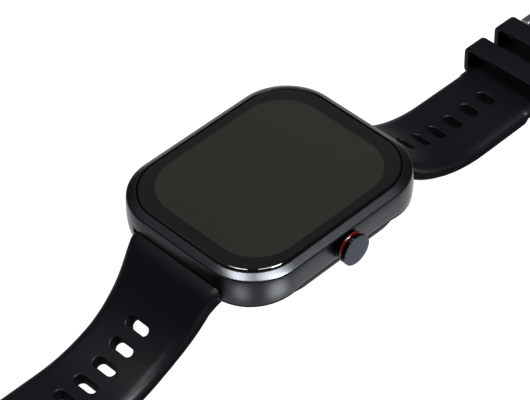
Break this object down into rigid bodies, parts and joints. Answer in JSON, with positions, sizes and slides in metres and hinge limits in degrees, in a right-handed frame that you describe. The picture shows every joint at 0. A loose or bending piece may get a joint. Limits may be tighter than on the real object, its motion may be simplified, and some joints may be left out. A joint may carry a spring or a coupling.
{
  "type": "smartwatch",
  "caption": "Rectangular smartwatch with a dark display, a rotating crown with a red ring and an open slotted elastomer strap.",
  "frame": {"origin": "centre of the flat rear face of the sensor window, on the case's axis", "axes": "+Z out of the display, +Y towards 12 o'clock, +X towards the crown at 3 o'clock"},
  "size_m": [0.0422, 0.2292, 0.0224],
  "materials": {
    "case_metal": "satin anodised",
    "glass": "polished",
    "adhesive": "matte",
    "display": "gloss",
    "cover_ceramic": "gloss",
    "seal": "matte",
    "sensor_glass": "polished",
    "steel": "brushed",
    "led": "gloss",
    "switch_plastic": "matte",
    "flex": "satin",
    "circuit_board": "satin",
    "battery_wrap": "satin",
    "baffle": "matte",
    "copper": "satin",
    "crown_metal": "spun",
    "crown_accent": "satin",
    "strap": "soft matte",
    "buckle_metal": "brushed"
  },
  "bodies": {
    "case": {"case_frame": "case_metal", "cover_glass": "glass", "glass_adhesive": "adhesive", "display_panel": "display", "back_cover": "cover_ceramic", "back_gasket": "seal", "sensor_window": "sensor_glass", "inner_chassis": "steel", "chassis_screws": "steel", "sensor_leds": "led", "press_switch": "switch_plastic", "display_flex": "flex", "main_board": "circuit_board", "shield_can": "steel", "battery": "battery_wrap", "vibration_motor": "steel", "speaker": "switch_plastic", "microphone": "steel", "crown_encoder": "switch_plastic", "sensor_baffle": "baffle", "sensor_board": "circuit_board", "charging_coil": "copper", "crown_bush": "steel"},
    "crown_press_stem": {"thrust_pad": "steel", "switch_plunger": "switch_plastic"},
    "crown": {"crown_cap": "crown_metal", "crown_ring": "crown_accent", "crown_shaft": "steel", "crown_seals": "seal", "crown_clip": "steel", "encoder_wheel": "switch_plastic"},
    "long_strap": {"strap_long": "strap", "long_bar_tube": "steel", "long_bar_pin": "steel", "long_bar_spring": "steel"},
    "long_release": {"long_bar_release": "steel"},
    "short_strap": {"strap_short": "strap", "short_bar_tube": "steel", "short_bar_pin": "steel", "short_bar_spring": "steel", "keeper_fixed": "strap", "buckle_bar": "steel"},
    "short_release": {"short_bar_release": "steel"},
    "free_keeper": {"keeper_free": "strap"},
    "buckle": {"buckle_frame": "buckle_metal"},
    "tongue": {"buckle_tongue": "buckle_metal"}
  },
  "joints": [
    {"name": "crown_press", "type": "slide", "parent": "case", "child": "crown_press_stem", "axis": [-1, 0, 0], "range_m": [0, 0.0004], "stiffness_N_per_m": 1500, "springref_m": -0.0008},
    {"name": "crown_turn", "type": "hinge", "parent": "crown_press_stem", "child": "crown", "pos_m": [0.01985, -0.0002, 0.0071], "axis": [1, 0, 0], "continuous": true},
    {"name": "strap_long_hinge", "type": "hinge", "parent": "case", "child": "long_strap", "pos_m": [0, -0.0215, 0.0059], "axis": [1, 0, 0], "range_deg": [0, 28]},
    {"name": "strap_short_hinge", "type": "hinge", "parent": "case", "child": "short_strap", "pos_m": [0, 0.0215, 0.0059], "axis": [-1, 0, 0], "range_deg": [0, 28]},
    {"name": "long_release_slide", "type": "slide", "parent": "long_strap", "child": "long_release", "axis": [1, 0, 0], "range_m": [0, 0.0011], "stiffness_N_per_m": 600, "springref_m": -0.001, "deforming": ["long_bar_spring"]},
    {"name": "short_release_slide", "type": "slide", "parent": "short_strap", "child": "short_release", "axis": [1, 0, 0], "range_m": [0, 0.0011], "stiffness_N_per_m": 600, "springref_m": -0.001, "deforming": ["short_bar_spring"]},
    {"name": "free_keeper_slide", "type": "slide", "parent": "short_strap", "child": "free_keeper", "axis": [0, 1, 0], "range_m": [-0.003, 0.0038]},
    {"name": "buckle_hinge", "type": "hinge", "parent": "short_strap", "child": "buckle", "pos_m": [0, 0.087, -0.0101], "axis": [1, 0, 0], "range_deg": [0, 50]},
    {"name": "tongue_hinge", "type": "hinge", "parent": "buckle", "child": "tongue", "pos_m": [0, 0.087, -0.0101], "axis": [1, 0, 0], "range_deg": [0, 55]}
  ]
}
